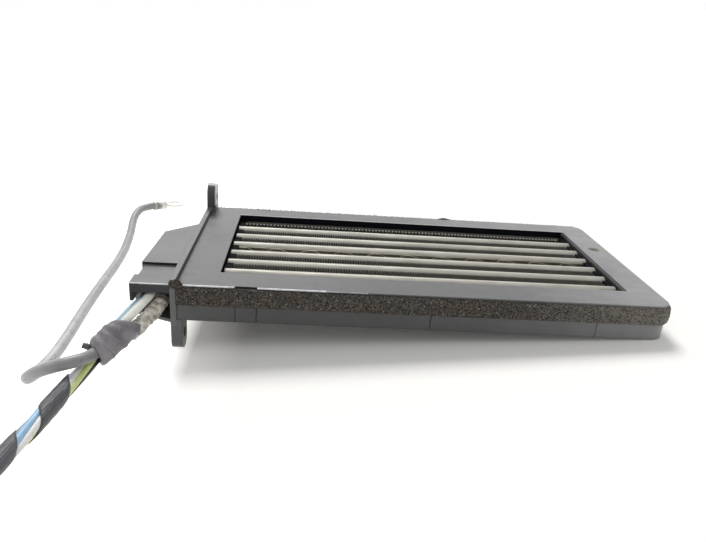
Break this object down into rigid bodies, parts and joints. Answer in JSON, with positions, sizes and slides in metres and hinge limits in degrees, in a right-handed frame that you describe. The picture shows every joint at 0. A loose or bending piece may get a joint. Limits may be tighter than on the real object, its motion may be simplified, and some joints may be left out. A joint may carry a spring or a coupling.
{
  "type": "electric cabin heater core",
  "caption": "Slim electric air heater core: finned heating rods in a window frame with a foam seal, an eared flange, a terminal head, taped wires and a ground lead.",
  "frame": {"origin": "middle of the flange's seating face, where the core's long axis leaves it", "axes": "+X along the core from the flange to its free end, +Y across it away from the side where the wires leave, +Z out of the face with the latch slots"},
  "size_m": [0.2901, 0.3018, 0.048],
  "materials": {
    "frame_plastic": "satin grey moulded plastic",
    "housing_plastic": "satin grey moulded plastic",
    "foam": "dark brown foam strip, coarse and dull",
    "rod_metal": "drawn, slightly brushed",
    "fin_metal": "thin folded strip, dulled",
    "spring_steel": "rolled spring band",
    "dark_plastic": "black heat-proof plastic",
    "ceramic": "dull pressed ceramic",
    "contact_metal": "rolled strip",
    "tinned_metal": "tinned, bright",
    "blue_wire": "light blue insulation",
    "cream_wire": "cream insulation",
    "clear_sleeve": "clear wrinkled sleeve over a wire",
    "grey_lead": "grey insulation",
    "dark_tape": "dark grey wrapped tape"
  },
  "bodies": {
    "root": {"bundle": "dark_tape", "bus_bar_1": "contact_metal", "bus_bar_2": "contact_metal", "bus_bar_3": "contact_metal", "contact_strip_1": "contact_metal", "contact_strip_2": "contact_metal", "contact_strip_3": "contact_metal", "contact_strip_4": "contact_metal", "contact_strip_5": "contact_metal", "contact_strip_6": "contact_metal", "fin_row_1": "fin_metal", "fin_row_2": "fin_metal", "fin_row_3": "fin_metal", "fin_row_4": "fin_metal", "fin_row_5": "fin_metal", "fin_row_6": "fin_metal", "foam_seal": "foam", "frame_bottom": "frame_plastic", "frame_screw": "tinned_metal", "frame_top": "frame_plastic", "ground_lead": "grey_lead", "heating_rod_1": "rod_metal", "heating_rod_2": "rod_metal", "heating_rod_3": "rod_metal", "heating_rod_4": "rod_metal", "heating_rod_5": "rod_metal", "heating_rod_6": "rod_metal", "holder_left": "dark_plastic", "holder_right": "dark_plastic", "lug_blue": "tinned_metal", "lug_cream": "tinned_metal", "lug_sleeved": "tinned_metal", "plug": "dark_plastic", "plug_pins": "contact_metal", "rail_far": "fin_metal", "rail_near": "fin_metal", "ring_terminal": "tinned_metal", "spring_backing": "spring_steel", "stone_row_1": "ceramic", "stone_row_2": "ceramic", "stone_row_3": "ceramic", "stone_row_4": "ceramic", "stone_row_5": "ceramic", "stone_row_6": "ceramic", "tape_wrap": "dark_tape", "terminal_block": "dark_plastic", "terminal_cover": "housing_plastic", "terminal_housing": "housing_plastic", "wave_spring": "spring_steel", "wire_blue": "blue_wire", "wire_cream": "cream_wire", "wire_sleeved": "clear_sleeve"}
  },
  "joints": []
}
